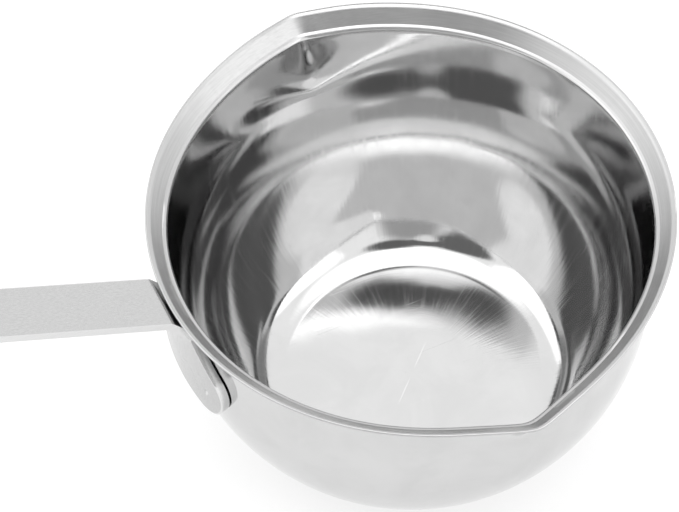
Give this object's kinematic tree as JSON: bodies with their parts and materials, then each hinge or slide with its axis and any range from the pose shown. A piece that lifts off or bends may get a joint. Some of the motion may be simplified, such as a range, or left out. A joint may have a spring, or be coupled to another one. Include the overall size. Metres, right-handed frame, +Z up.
{
  "type": "candle melting pot",
  "caption": "Polished steel melting pot with a flared lip, pouring spouts to either hand and a flat bar handle spot welded on by its flared foot.",
  "frame": {"origin": "centre of the underside of the flat base, where the pot rests", "axes": "+Z up out of the mouth; the handle points along -X; the spouts point along +Y and -Y"},
  "size_m": [0.2767, 0.165, 0.1424],
  "materials": {
    "bowl_steel": "polished stainless steel",
    "handle_steel": "finely brushed stainless steel",
    "weld_steel": "fused steel"
  },
  "bodies": {
    "root": {"bowl": "bowl_steel", "handle": "handle_steel", "spot_weld_left": "weld_steel", "spot_weld_right": "weld_steel"}
  },
  "joints": []
}
